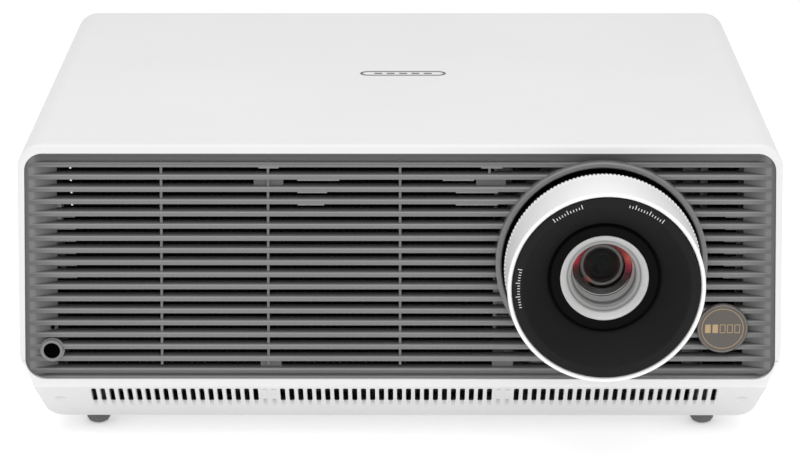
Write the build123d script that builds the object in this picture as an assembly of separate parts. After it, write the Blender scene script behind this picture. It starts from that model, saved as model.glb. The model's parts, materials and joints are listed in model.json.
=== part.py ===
from build123d import *
import math
import os

# Home projector: wide laser projector with a louvred front and a big lens ring.
# Frame: +Z up, the front faces -Y, the lens is on the +X side. The origin is on the desk,
# under the centre of the box around the whole object. All sizes are in millimetres.

# ---------------------------------------------------------------- driving dimensions
HALF_TOP = 184.6                 # half width of the case at its top face
SIDE_DRAFT = 1.45                # degrees, the case widens towards the seam
DEPTH = 290.0                    # front face to back face
LENS_REACH = 40.0                # lens ring in front of the front face
TOP = 155.0
UNDERSIDE = 7.2
WALL = 2.6
SEAM_Z = 44.6                    # parting line between top cover and bottom case
SEAM_GAP = 0.15
FRONT = LENS_REACH - (DEPTH + LENS_REACH) / 2
BACK = FRONT + DEPTH
CHIN_Z = 31.7                    # the 45 degree chin starts here on the front face
TOP_CORNER_R = 12.0
LOW_CORNER_R = 12.5

GRILLE_TOP = 150.65
GRILLE_LOW = 35.2
GRILLE_RIM_HIGH = 3.5            # white rim left beside the grille at its top
GRILLE_RIM_LOW = 2.9             # and at its foot
GRILLE_FACE = 1.2                # grille face behind the front plane
GRILLE_THICK = 3.8
LOUVRE_PITCH = 6.2
LOUVRE_COUNT = 17
FIRST_NOSE_Z = 145.5             # top edge of the uppermost nose
NOSE_TALL = 2.0
NOSE_BEVEL = 0.45                # bright upper edge of each nose
LOUVRE_SLOPE = 0.37              # the gap climbs this much for each mm inward
GAP_HALF = 167.8                 # half width of a gap at the middle of the front
FADE_HALF = 181.6                # gaps die out into the side borders here
FLARE = 0.00015                  # front widths grow with the side draft, per mm below MIDDLE_Z
MIDDLE_Z = 80.0
RIBS = ((-116.7, 42), (-64.5, 42), (0.0, 42), (43.6, 140))    # x and foot of each rib
IR_SPOT = (-171.2, 50.0)
LED_SPOT = (-170.6, 61.5)
BADGE_SPOT = (158.0, 61.9)

LENS_X = 98.0
LENS_Z = 95.4
RING_R = 47.4
ESCUTCHEON_IN = 48.7
ESCUTCHEON_OUT = 51.5
FIT = 0.06                       # radial clearance of a running fit

SLOT_WIDE = 2.6
SLOT_LONG = 13.5
SLOT_PITCH = 4.456
SLOT_FIRST_X = -151.8
SLOT_COUNT = 70
SLOT_BLANKS = (19, 20, 45, 46)   # these places carry a raised bar instead of a slot
SLOT_FROM = 3.1                  # along the chin, below its upper edge
SLOT_FALL = 0.36                 # a slot drops this much for each mm inward

FOOT_X = 153.0
FOOT_Y = FRONT + 36.0
FOOT_R = 5.85
REAR_FOOT = (150.0, 135.0)
STUD_R = 3.0
CEILING_X = 220.0
CEILING_Y = 150.0
INSERT_R = 1.65

PLATE_Z = 12.2                   # steel base plate
PLATE_T = 1.2
BOSS_SPOTS = [(s * 165.0, y) for s in (-1, 1) for y in (-60.0, 30.0, 142.0)]

FAN_XS = (-131.0, -37.0)
FAN_SIZE = 92.0
FAN_Z = 96.0
FAN_Y = FRONT + 20.0
FAN_DEEP = 25.0

WHEEL_X = -72.0
ENGINE_Y = 13.0
ENGINE_Z = 92.0

REAR_HALF = 150.0
REAR_LOW = 20.0
REAR_HIGH = 140.0
BAND_TOP = 60.0                  # top of the rear connector band
STICK_X = 128.0
STICK_Z = 112.0
STICK_PIVOT_Y = BACK - 16.0


# ---------------------------------------------------------------- small tools
def box(x0, x1, y0, y1, z0, z1):
    centre = ((x0 + x1) / 2, (y0 + y1) / 2, (z0 + z1) / 2)
    return Pos(*centre) * Box(x1 - x0, y1 - y0, z1 - z0)


def post(x, y, r, z0, z1):
    return Pos(x, y, (z0 + z1) / 2) * Cylinder(r, z1 - z0)


def rod_x(y, z, r, x0, x1):
    return Pos((x0 + x1) / 2, y, z) * Rot(0, 90, 0) * Cylinder(r, x1 - x0)


def rod_y(x, z, r, y0, y1):
    return Pos(x, (y0 + y1) / 2, z) * Rot(90, 0, 0) * Cylinder(r, y1 - y0)


def turned_y(profile, x, z):
    """A body turned about an axis along Y; profile points are (radius, y)."""
    face = make_face(Polyline(*profile, close=True))
    return Pos(x, 0, z) * revolve(face, axis=Axis.Y)


def turned_z(profile, x, y):
    """A body turned about an upright axis; profile points are (radius, z)."""
    face = make_face(Polyline(*[(r, 0, z) for r, z in profile], close=True))
    return Pos(x, y, 0) * revolve(face, axis=Axis.Z)


def lens_turned(profile):
    """A body turned about the lens axis; depths are measured from the front plane."""
    return turned_y([(r, FRONT + d) for r, d in profile], LENS_X, LENS_Z)


def plane_xz(y):
    return Plane(origin=(0, y, 0), x_dir=(1, 0, 0), z_dir=(0, -1, 0))


def plane_yz(x):
    return Plane(origin=(x, 0, 0), x_dir=(0, 1, 0), z_dir=(1, 0, 0))


def rounded(corners, inset=0.0):
    """A flat outline from ((x, y), radius) corners, drawn inward by inset."""
    face = make_face(Polyline(*[point for point, _ in corners], close=True))
    for (x, y), radius in corners:
        if radius:
            near = min(face.vertices(), key=lambda v: (v.X - x) ** 2 + (v.Y - y) ** 2)
            face = fillet(near, radius)
    return offset(face, amount=-inset, kind=Kind.INTERSECTION) if inset else face


def joined(pieces):
    whole = pieces[0]
    for piece in pieces[1:]:
        whole = whole + piece
    return whole


def half_at(z):
    return HALF_TOP + (TOP - z) * math.tan(math.radians(SIDE_DRAFT))


# ---------------------------------------------------------------- case
def case_block(inset):
    """The closed outer shape of the case, drawn inward by inset."""
    right = [((HALF_TOP, TOP), TOP_CORNER_R), ((half_at(46), 46), 12),
             ((181.6, 33), 20), ((175.6, UNDERSIDE), 9)]
    left = [((-x, z), radius) for (x, z), radius in reversed(right)]
    face = plane_xz(FRONT + inset) * rounded(right + left, inset)
    body = extrude(face, amount=DEPTH - 2 * inset, dir=(0, 1, 0))
    rear_edges = [e for e in body.edges() if abs(e.center().Y - (BACK - inset)) < 1e-3]
    body = fillet(rear_edges, 8 - inset / 2)
    lift = inset * math.sqrt(2)
    wedge = make_face(Polyline((FRONT - 20, CHIN_Z + 20 + lift), (FRONT - 20, -30),
                               (FRONT + CHIN_Z + 30 + lift, -30), close=True))
    body = body - extrude(plane_yz(-250) * wedge, amount=500, dir=(1, 0, 0))
    side = half_at(46) + 5 - inset
    low = CHIN_Z - 0.3 + lift
    strip = rounded([((-side, low), LOW_CORNER_R + 5), ((side, low), LOW_CORNER_R + 5),
                     ((side, 470), 0), ((-side, 470), 0)])
    swept = extrude(plane_xz(FRONT) * strip, amount=300 * math.sqrt(2), dir=(0, 1, -1))
    return body & swept


def front_opening(inset):
    high = half_at(GRILLE_TOP) - GRILLE_RIM_HIGH
    low = half_at(GRILLE_LOW) - GRILLE_RIM_LOW
    return rounded([((-low, GRILLE_LOW), 10), ((low, GRILLE_LOW), 10),
                    ((high, GRILLE_TOP), 9), ((-high, GRILLE_TOP), 9)], inset)


def case_shell():
    outer = case_block(0)
    rim = [e for e in outer.edges()
           if abs(e.bounding_box().min.Y - FRONT) < 1e-3
           and abs(e.bounding_box().max.Y - FRONT) < 1e-3]
    shell = fillet(rim, 2.0) - case_block(WALL)
    shell = shell - extrude(plane_xz(FRONT - 1) * front_opening(0), amount=WALL + 4, dir=(0, 1, 0))
    rear = rounded([((-REAR_HALF, REAR_LOW), 5), ((REAR_HALF, REAR_LOW), 5),
                    ((REAR_HALF, REAR_HIGH), 5), ((-REAR_HALF, REAR_HIGH), 5)])
    return shell - extrude(plane_xz(BACK - WALL - 1) * rear, amount=WALL + 2, dir=(0, 1, 0))


def side_vents():
    """Upright slots through both side walls: speaker sound and air intake."""
    slots = []
    for y in [64 + 5 * i for i in range(13)]:
        slots.append(box(-200, 200, y - 1.2, y + 1.2, 80, 122))
    for y in [-40 + 5 * i for i in range(17)]:
        slots.append(box(-200, 0, y - 1.2, y + 1.2, 62, 122))
    return slots


def make_top_cover(shell):
    cover = shell & box(-250, 250, -250, 250, SEAM_Z + SEAM_GAP, 200)
    cover = cover - side_vents()
    bosses = [post(x, y, 4, SEAM_Z + SEAM_GAP, TOP - WALL + 0.5) for x, y in BOSS_SPOTS]
    cover = cover + bosses
    return cover - [post(x, y, 1.55, SEAM_Z, SEAM_Z + 18) for x, y in BOSS_SPOTS]


def chin_plane():
    """On the chin: local x along X, local y up the slope, normal outward."""
    return Plane(origin=(0, FRONT, CHIN_Z), x_dir=(1, 0, 0), z_dir=(0, -1, -1))


def slot_x(place):
    return SLOT_FIRST_X + SLOT_PITCH * place


def chin_slots():
    """Slots that drop inward, each with a short scoop at its foot."""
    xs = [slot_x(i) for i in range(SLOT_COUNT) if i not in SLOT_BLANKS]
    mid = -(SLOT_FROM + SLOT_LONG / 2)
    holes = Sketch() + [Pos(x, mid) * RectangleRounded(SLOT_WIDE, SLOT_LONG, 1.0) for x in xs]
    through = extrude(chin_plane() * holes, amount=11, dir=(0, 1, -SLOT_FALL), both=True)
    tail_start = -(SLOT_FROM + SLOT_LONG - 1.5)
    tail = make_face(Polyline((tail_start, -1.3), (tail_start - 7.5, 0.2), (tail_start, 0.2), close=True))
    scoops = [extrude(Plane(origin=(x - 0.9, FRONT, CHIN_Z), x_dir=(0, -1, 1), z_dir=(1, 0, 0)) * tail,
                      amount=1.8) for x in xs]
    return [through] + scoops


def chin_trim():
    return [chin_plane() * Pos(slot_x(i), -12.5, 0) * Box(1.8, 17, 0.8) for i in SLOT_BLANKS]


def chin_dimples():
    return [chin_plane() * Pos(x, -15.8, 7.2) * Sphere(8) for x in (-168.8, 169.8)]


def make_bottom_case(shell):
    case = shell & box(-250, 250, -250, 250, -10, SEAM_Z - SEAM_GAP)
    case = case + chin_trim()
    case = case - chin_slots()
    case = case - chin_dimples()
    floor = UNDERSIDE + WALL - 0.5
    bosses = [post(x, y, 4, floor + 4, SEAM_Z - SEAM_GAP) for x, y in BOSS_SPOTS]
    bosses += [post(s * FOOT_X, FOOT_Y, 6.5, floor, 24) for s in (-1, 1)]
    bosses += [post(s * CEILING_X / 2, 35 + t * CEILING_Y / 2, 5, floor, PLATE_Z)
               for s in (-1, 1) for t in (-1, 1)]
    bosses += [post(x, y, 7, floor, floor + 6) for x, y in BOSS_SPOTS]
    case = case + bosses
    case = case - [post(x, y, 1.6, 0, 60) for x, y in BOSS_SPOTS]
    case = case - [post(x, y, 3.2, 0, UNDERSIDE + 4) for x, y in BOSS_SPOTS]
    case = case - [post(s * FOOT_X, FOOT_Y, STUD_R + FIT, 0, 60) for s in (-1, 1)]
    return case - [post(s * CEILING_X / 2, 35 + t * CEILING_Y / 2, 2.8, 0, 60)
                   for s in (-1, 1) for t in (-1, 1)]


def make_mount_inserts():
    tube = Cylinder(2.8, 5) - Cylinder(INSERT_R, 6)
    return [Pos(s * CEILING_X / 2, 35 + t * CEILING_Y / 2, UNDERSIDE + 2.5) * tube
            for s in (-1, 1) for t in (-1, 1)]


def make_housing_screws():
    screws = []
    for x, y in BOSS_SPOTS:
        shank = post(x, y, 1.5, UNDERSIDE + 3, SEAM_Z + 12)
        head = post(x, y, 2.9, UNDERSIDE + 1.4, UNDERSIDE + 4)
        slot = box(x - 2, x + 2, y - 0.4, y + 0.4, UNDERSIDE, UNDERSIDE + 2.2)
        screws.append(shank + head - slot)
    return screws


def make_rear_feet():
    x, y = REAR_FOOT
    profile = [(0, 0), (6.5, 0), (8, 1.5), (8, UNDERSIDE), (0, UNDERSIDE)]
    return [turned_z(profile, s * x, y) for s in (-1, 1)]


def make_foot_pad(x):
    profile = [(0, 0), (3.2, 0), (4.9, 0.9), (FOOT_R, 2.6), (FOOT_R, 4.6),
               (1.95, 4.6), (1.95, 2.4), (0, 2.4)]
    return turned_z(profile, x, FOOT_Y)


def make_foot_stud(x):
    profile = [(0, 2.6), (1.89, 2.6), (1.89, 4.7), (FOOT_R, 4.7), (FOOT_R, 6.9),
               (STUD_R, 6.9), (STUD_R, 33), (2.2, 34), (0, 34)]
    return turned_z(profile, x, FOOT_Y)


# ---------------------------------------------------------------- front
def flared(x, z):
    return x * (1 + FLARE * (MIDDLE_Z - z))


def faded(profile, z):
    """A cut along X with the given (y, z) profile, dying out into the side borders."""
    face_y = FRONT + GRILLE_FACE
    full, fade = flared(GAP_HALF, z), flared(FADE_HALF, z)
    reach = make_face(Polyline(
        (-fade, face_y - 5), (-fade, face_y), (-full, face_y + 3.2), (-full, face_y + 9),
        (full, face_y + 9), (full, face_y + 3.2), (fade, face_y), (fade, face_y - 5), close=True))
    cut = extrude(plane_yz(-190) * make_face(Polyline(*profile, close=True)), amount=380, dir=(1, 0, 0))
    return cut & extrude(reach, amount=200)


def louvre_gaps():
    """The see-through gaps, and the blind grooves above the first nose and below the last."""
    y = FRONT + GRILLE_FACE
    back = y + GRILLE_THICK + 1
    rise = LOUVRE_SLOPE * (GRILLE_THICK + 1)

    def nose_top(z):
        inner = (y + NOSE_BEVEL, z + LOUVRE_SLOPE * NOSE_BEVEL)
        return [(y - 1, z - NOSE_BEVEL - 1), (y, z - NOSE_BEVEL), inner]

    cuts = []
    for i in range(1, LOUVRE_COUNT + 1):
        low = FIRST_NOSE_Z - LOUVRE_PITCH * i
        high = low + LOUVRE_PITCH - NOSE_TALL
        rest = [(back, low + rise), (back, high + rise), (y - 1, high - LOUVRE_SLOPE)]
        cuts.append(faded(nose_top(low) + rest, low + 2))
    first, last = FIRST_NOSE_Z, FIRST_NOSE_Z - LOUVRE_PITCH * LOUVRE_COUNT - NOSE_TALL
    cuts.append(faded(nose_top(first) + [(y + 1.7, first + 0.63), (y + 1.2, 152), (y - 1, 152)], first))
    cuts.append(faded([(y - 1, last - LOUVRE_SLOPE), (y + 1.9, last + 0.7), (y + 1.9, last - 0.9),
                       (y + 0.3, GRILLE_LOW + 0.4), (y + 0.1, GRILLE_LOW - 1), (y - 1, GRILLE_LOW - 1)],
                      last))
    return cuts


def grille_ribs():
    """Leaning ribs and the clip tabs that show through the gaps."""
    y, back = FRONT + GRILLE_FACE, FRONT + GRILLE_FACE + GRILLE_THICK
    pieces = []
    for x, foot in RIBS:
        low, high = flared(x, foot), flared(x, 147)
        corners = [(low - 0.6, foot), (low + 0.6, foot), (high + 0.6, 147), (high - 0.6, 147)]
        face = make_face(Polyline(*corners, close=True))
        pieces.append(extrude(plane_xz(y + 1.3) * face, amount=GRILLE_THICK - 1.3, dir=(0, 1, 0)))
    for x0, x1, z0, z1 in ((-70.9, -56.6, 133.6, 139), (36.8, 51.1, 133.6, 139),
                           (-68.8, -58.5, 40.5, 46), (45.3, 55.6, 40.5, 46)):
        pieces.append(box(x0, x1, y + 2.2, back, z0, z1))
    lips = [(-68.4, -58.7, 1), (39.1, 49.4, 1), (-49.7, -29.5, 2), (20.7, 35.7, 2), (-49.7, -35.4, 3),
            (27.0, 47.3, 3), (-49.7, -36.8, 4), (27.0, 47.3, 4)]
    for x0, x1, row in lips:
        top = FIRST_NOSE_Z - NOSE_TALL - LOUVRE_PITCH * (row - 1)
        pieces.append(box(x0, x1, y + 0.6, back, top - 0.75, top + 1))
    for row in range(5, 11):
        top = FIRST_NOSE_Z - NOSE_TALL - LOUVRE_PITCH * (row - 1)
        for side in (-1, 1):
            near, far = sorted((side * 158, side * (GAP_HALF + 1)))
            pieces.append(box(near, far, y + 2.2, back, top - 1.2, top + 1.5))
    return pieces


def make_front_grille():
    face_y = FRONT + GRILLE_FACE
    back_y = face_y + GRILLE_THICK
    plate = extrude(plane_xz(face_y) * front_opening(0.2), amount=GRILLE_THICK, dir=(0, 1, 0))
    grille = plate - louvre_gaps() + grille_ribs()
    grille = grille - rod_y(LENS_X, LENS_Z, ESCUTCHEON_OUT, FRONT - 5, FRONT + 20)
    grille = grille + rod_y(IR_SPOT[0], IR_SPOT[1], 6.1, face_y + 0.4, back_y)
    grille = grille - rod_y(IR_SPOT[0], IR_SPOT[1], 5.4, FRONT - 5, FRONT + 20)
    return grille - rod_y(LED_SPOT[0], LED_SPOT[1], 0.9, FRONT - 5, FRONT + 20)


def make_escutcheon():
    return lens_turned([(ESCUTCHEON_IN, -2.2), (ESCUTCHEON_IN + 0.6, -2.8), (ESCUTCHEON_OUT - 0.6, -2.8),
                        (ESCUTCHEON_OUT, -2.2), (ESCUTCHEON_OUT, 18), (ESCUTCHEON_IN, 18)])


def make_ir_bezel():
    x, z = IR_SPOT
    y = FRONT
    return turned_y([(4.1, y - 0.2), (5.4, y - 0.2), (5.4, y + 5.5), (4.1, y + 5.5)], x, z)


def make_ir_window():
    x, z = IR_SPOT
    return rod_y(x, z, 4.1, FRONT + 0.9, FRONT + 5.5)


def make_status_led():
    x, z = LED_SPOT
    return rod_y(x, z, 0.9, FRONT + GRILLE_FACE + 0.4, FRONT + GRILLE_FACE + GRILLE_THICK)


def make_badge():
    x, z = BADGE_SPOT
    y = FRONT
    profile = [(0, y - 0.8), (12.1, y - 0.8), (12.5, y - 0.4), (12.5, y + GRILLE_FACE), (0, y + GRILLE_FACE)]
    return turned_y(profile, x, z)


def make_top_emblem():
    outline = SlotOverall(45, 9) - SlotOverall(42.6, 6.6)
    bars = [Pos(6.5 * i, 0) * SlotOverall(4.4, 1.6) for i in (-2, -1, 0, 1, 2)]
    return [extrude(Plane(origin=(1.3, 16, TOP)) * face, amount=0.15) for face in [outline] + bars]


# ---------------------------------------------------------------- lens
def make_focus_ring():
    teeth = 150
    body = lens_turned([(45.05, -39.2), (45.6, -40), (46.7, -40), (47.1, -39.6), (RING_R - 0.15, -10.2),
                        (RING_R - 0.15, -8), (40 + FIT, -8), (40 + FIT, -12), (45.05, -12)])
    tooth = Pos(LENS_X, FRONT - 9.0, LENS_Z)
    ridges = [tooth * Rot(0, 360 / teeth * i, 0) * Pos(RING_R - 0.2, 0, 0) * Box(0.9, 2.0, 1.0)
              for i in range(teeth)]
    return body + ridges


def make_zoom_ring():
    profile = [(40 + FIT, -6.5), (43.5, -6.5), (43.5, 12), (40 + FIT, 12)]
    grooves = []
    for i in range(60):
        turn = Pos(LENS_X, FRONT + 3, LENS_Z) * Rot(0, 6 * i, 0)
        grooves.append(turn * Pos(43.7, 0, 0) * Box(1.2, 12, 1.6))
    return lens_turned(profile) - grooves


def make_front_dish():
    return lens_turned([(27.4, -22.9), (28.0, -24.0), (39.7, -39.3), (40.4, -40.0), (44.3, -40.0),
                        (44.7, -39.6), (44.7, -32), (36, -32), (27.4, -20.5)])


def make_baffle_ring():
    return lens_turned([(21.2, -23.4), (25.6, -23.4), (26.2, -22.8), (26.2, -21.4), (27.4, -21.4),
                        (27.4, -20.5), (21.2, -20.5)])


def make_lens_hood():
    """Bright funnel, a ledge, and a long taper down to the front glass."""
    return lens_turned([(15.9, -19.5), (17.4, -20.1), (17.6, -20.7), (20.7, -24.3), (21.2, -24.0),
                        (21.2, -5.6), (14.9, -5.6), (14.9, -7.4), (14.5, -7.6)])


def make_front_element():
    """Front glass of the lens: a gently bulged disc at the foot of the hood."""
    arc = ThreePointArc((0, -8.7), (7.5, -8.3), (14.4, -7.3))
    edge = Polyline((14.4, -7.3), (14.9, -7.3), (14.9, -5.7), (0, -5.7), (0, -8.7))
    face = make_face(arc + edge)
    return Pos(LENS_X, FRONT, LENS_Z) * revolve(face, axis=Axis.Y)


def make_lens_barrel():
    body = lens_turned([(36, -32), (40, -32), (40, 28), (46, 28), (46, 36), (34, 36), (34, 100), (31, 100),
                        (31, 24), (36, 24), (36, 20), (36, -17), (24, -17), (24, 18), (21.2, 18),
                        (21.2, -20), (36, -20)])
    return body


def make_light_seal():
    return lens_turned([(40, 20), (53, 20), (53, 22), (40, 22)])


def make_focus_cell():
    """Cell that carries the focusing glass; its thin snout shows through the front glass."""
    return lens_turned([(8.9, -2.6), (10.4, -2.6), (10.4, -0.4), (12.6, -0.4), (12.6, 1.2), (21.2 - FIT, 1.2),
                        (21.2 - FIT, 15), (9.4, 15), (9.4, 5), (8.9, 5)])


def make_focus_glass():
    arc = ThreePointArc((0, -2.4), (4.5, -2.1), (8.9, -1.2))
    edge = Polyline((8.9, -1.2), (8.9, 5.0), (0, 5.0), (0, -2.4))
    return Pos(LENS_X, FRONT, LENS_Z) * revolve(make_face(arc + edge), axis=Axis.Y)


def make_zoom_cell():
    return lens_turned([(24, 45), (31 - FIT, 45), (31 - FIT, 62), (24, 62)])


def make_zoom_glass():
    arc = ThreePointArc((0, 46.5), (12.5, 48.0), (24, 52))
    edge = Polyline((24, 52), (24, 57), (0, 57), (0, 46.5))
    return Pos(LENS_X, FRONT, LENS_Z) * revolve(make_face(arc + edge), axis=Axis.Y)


def make_rear_element():
    return lens_turned([(0, 90), (31, 92), (31, 98), (0, 98)])


# ---------------------------------------------------------------- lens shift
CARRIAGE_Y = FRONT + 36.0
GUIDE_Y = CARRIAGE_Y + 4.5       # sideways guides
LIFT_Y = CARRIAGE_Y - 3.5        # upright guides
RAIL_W = 41.0                    # guide height above and below the lens axis
ROD_U = 66.0                     # guide distance left and right of the lens axis


def make_horizontal_carriage():
    x, z, y = LENS_X, LENS_Z, CARRIAGE_Y
    block = box(x - 42, x + 42, y, y + 9, z - 46, z + 46) - rod_y(x, z, 34, y - 1, y + 10)
    for side in (-1, 1):
        block = block - rod_x(GUIDE_Y, z + side * RAIL_W, 2.5 + FIT, x - 50, x + 50)
    return block


def make_vertical_carriage():
    x, z, y = LENS_X, LENS_Z, CARRIAGE_Y
    frame = box(x - 71, x + 71, y + 9.2, y + 12.2, z - 46, z + 46)
    for side in (-1, 1):
        near, far = sorted((x + side * 50, x + side * 71))
        frame = frame + box(near, far, y - 8, y + 9.2, z - 46, z + 46)
    frame = frame - rod_y(x, z, 37, y - 1, y + 13)
    frame = frame - [post(x + side * ROD_U, LIFT_Y, 2.5 + FIT, z - 50, z + 50) for side in (-1, 1)]
    frame = frame - rod_x(GUIDE_Y, z + RAIL_W, 2.5, x - 58, x + 58)
    return frame - rod_x(GUIDE_Y, z - RAIL_W, 2.5 + FIT, x - 80, x + 58)


def make_guide_rod_horizontal():
    return rod_x(GUIDE_Y, LENS_Z + RAIL_W, 2.5, LENS_X - 58, LENS_X + 58)


def make_lead_screw_horizontal():
    return rod_x(GUIDE_Y, LENS_Z - RAIL_W, 2.5, LENS_X - 73.4, LENS_X + 57.7)


def make_shift_motor_horizontal():
    x = LENS_X - 71
    can = rod_x(GUIDE_Y, LENS_Z - RAIL_W, 4.6, x - 15, x)
    return can - rod_x(GUIDE_Y, LENS_Z - RAIL_W, 2.8, x - 3, x + 1)


def make_shift_frame():
    x, z, y = LENS_X, LENS_Z, CARRIAGE_Y
    floor = PLATE_Z + PLATE_T
    frame = box(x - 75, x + 75, y + 12.6, y + 15.6, floor, z + 54)
    frame = frame + box(x - 75, x + 75, y - 8, y + 12.6, z + 49.6, z + 54)
    frame = frame + box(x - 75, x + 75, y - 8, y + 12.6, z - 54, z - 49.6)
    frame = frame - rod_y(x, z, 41, y, y + 20)
    frame = frame - box(x - 45, x + 45, y, y + 20, floor + 12, z - 60)
    frame = frame - post(x + ROD_U, LIFT_Y, 2.5, z - 56, z + 52)
    return frame - post(x - ROD_U, LIFT_Y, 2.5 + FIT, z - 58, z + 52)


def make_guide_rod_vertical():
    return post(LENS_X + ROD_U, LIFT_Y, 2.5, LENS_Z - 54, LENS_Z + 52)


def make_lead_screw_vertical():
    return post(LENS_X - ROD_U, LIFT_Y, 2.5, LENS_Z - 56.5, LENS_Z + 51.7)


def make_shift_motor_vertical():
    top = LENS_Z - 54
    can = post(LENS_X - ROD_U, LIFT_Y, 7, top - 16, top)
    return can - post(LENS_X - ROD_U, LIFT_Y, 2.8, top - 3, top + 1)


# ---------------------------------------------------------------- light engine
def make_engine_housing():
    prism_outer = box(58, 138, -19, 45, 58, 124)
    tunnel_outer = box(-50, 60, -10, 36, 70, 124)
    prism_inner = box(62, 134, -15, 41, 62, 130)
    tunnel_inner = box(-46, 70, -6, 32, 74, 130)
    housing = prism_outer + tunnel_outer - prism_inner - tunnel_inner
    housing = housing - rod_y(LENS_X, LENS_Z, 30, -25, -12)
    housing = housing - box(83, 113, 38, 50, 83, 107)
    housing = housing - rod_x(ENGINE_Y, 98, 14, -55, -42)
    legs = [post(x, y, 5, PLATE_Z + PLATE_T, 60) for x in (64, 132) for y in (-13, 39)]
    legs += [post(x, ENGINE_Y, 5, PLATE_Z + PLATE_T, 72) for x in (-40, 20)]
    return housing + legs


def make_engine_lid():
    return box(58, 138, -19, 45, 124, 127) + box(-50, 60, -10, 36, 124, 127)


def make_prism():
    face = make_face(Polyline((-15, -15), (17, -15), (17, 17), (-15, 17), close=True))
    return extrude(Plane(origin=(LENS_X, 18, 79)) * face, amount=32) + box(92, 104, -8, 3, 89, 102)


def make_condenser_lenses():
    discs = []
    for x in (-30, 0, 40):
        profile = [(0, -4), (13, -2), (13, 2), (0, 4)]
        face = make_face(Polyline(*[(h, r) for r, h in profile], close=True))
        discs.append(Pos(x, ENGINE_Y, 98) * revolve(face, axis=Axis.X))
    return discs


def make_wheel_housing():
    outer = box(-84, -50, -22, 48, 57, 127)
    inner = box(-90, -52, -20, 46, 59, 125)
    return outer - inner - rod_x(ENGINE_Y, 98, 14, -56, -45)


def make_phosphor_wheel():
    return rod_x(ENGINE_Y, ENGINE_Z, 30, WHEEL_X - 0.75, WHEEL_X + 0.75) + rod_x(
        ENGINE_Y, ENGINE_Z, 1.5, WHEEL_X, WHEEL_X + 12)


def make_wheel_motor():
    can = rod_x(ENGINE_Y, ENGINE_Z, 11, WHEEL_X + 3, -52)
    return can - rod_x(ENGINE_Y, ENGINE_Z, 1.5 + FIT, WHEEL_X, WHEEL_X + 13)


def make_laser_bank():
    bank = box(-100, -84, -22, 48, 57, 127)
    diodes = [rod_x(y, z, 4, -84.5, -80) for y in (-8, 6, 20, 34) for z in (72, 86, 100, 114)]
    return bank + diodes


def heat_pipe_rows():
    return [rod_x(y, 92, 3, -158, -104) for y in (-8, 13, 34)]


def make_laser_heatsink():
    sink = box(-106, -100, -22, 48, 57, 127)
    spine = box(-158, -106, 11.5, 14.5, 57, 127)
    fins = [box(-158, -106, -22, 48, 58 + 4.9 * i, 59.2 + 4.9 * i) for i in range(14)]
    return joined([sink, spine] + fins) - heat_pipe_rows()


def make_dmd_board():
    board = box(60, 136, 45.2, 46.8, 60, 128)
    return board + box(84, 112, 41.2, 45.2, 84, 106) - box(86, 110, 40, 43, 86, 104)


def make_dmd_heatsink():
    base = box(72, 124, 46.8, 51, 68, 122)
    fins = [box(72 + 5.1 * i, 73.2 + 5.1 * i, 51, 76, 68, 122) for i in range(11)]
    return joined([base] + fins)


# ---------------------------------------------------------------- cooling
def make_fan_frame(x):
    half = FAN_SIZE / 2
    frame = box(x - half, x + half, FAN_Y, FAN_Y + FAN_DEEP, FAN_Z - half, FAN_Z + half)
    frame = frame - rod_y(x, FAN_Z, 44, FAN_Y - 1, FAN_Y + FAN_DEEP + 1)
    hub = rod_y(x, FAN_Z, 18, FAN_Y + 21.5, FAN_Y + FAN_DEEP)
    arm = box(-1.5, 1.5, FAN_Y + 22, FAN_Y + FAN_DEEP, 16, 45)
    arms = [Pos(x, 0, FAN_Z) * Rot(0, 45 + 90 * i, 0) * arm for i in range(4)]
    holes = [rod_y(x + s * 41.25, FAN_Z + t * 41.25, 2.15, FAN_Y - 1, FAN_Y + 30)
             for s in (-1, 1) for t in (-1, 1)]
    return joined([frame, hub] + arms) - holes


def make_impeller(x):
    hub = rod_y(x, FAN_Z, 17.5, FAN_Y + 3, FAN_Y + 20.5)
    blade = Pos(0, 0, 29.5) * Rot(0, 0, 38) * Box(1.6, 20, 26)
    blades = [Pos(x, FAN_Y + 12, FAN_Z) * Rot(0, 40 * i, 0) * blade for i in range(9)]
    return joined([hub] + blades)


# ---------------------------------------------------------------- electronics
def make_chassis_plate():
    """Steel plate with the upright fan bracket and the two speaker brackets folded up from it."""
    front = FAN_Y + FAN_DEEP
    level = PLATE_Z + PLATE_T
    plate = box(-157, 157, front, 150, PLATE_Z, level)
    plate = plate - [post(s * 40, y, 12, 0, 60) for s in (-1, 1) for y in (0, 45)]
    upright = box(-177, 9, front, front + PLATE_T, level, FAN_Z + 46)
    upright = upright - box(-180, -157, front - 1, front + 2, 0, 30)
    upright = upright - [rod_y(x, FAN_Z, 44, front - 1, front + 2) for x in FAN_XS]
    brackets = [box(min(s * 152, s * 157), max(s * 152, s * 157), 84, 104, level, 76) for s in (-1, 1)]
    return joined([plate, upright] + brackets)


def make_power_supply():
    z = PLATE_Z + PLATE_T
    tray = box(-149, -55, 58, 140, z, z + 1.2)
    board = box(-147, -57, 60, 138, z + 5, z + 6.6)
    studs = [post(x, y, 2, z + 1.2, z + 5) for x in (-143, -61) for y in (64, 134)]
    top = z + 6.6
    blocks = [box(-140, -112, 66, 94, top, top + 24), box(-104, -78, 66, 88, top, top + 20),
              box(-145, -141, 100, 132, top, top + 28), box(-94, -90, 94, 132, top, top + 28)]
    cans = [post(-68, y, 6, top, top + 26) for y in (82, 97, 112)]
    cans += [post(-125, y, 9, top, top + 16) for y in (107, 127)]
    return joined([tray, board] + studs + blocks + cans)


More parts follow.
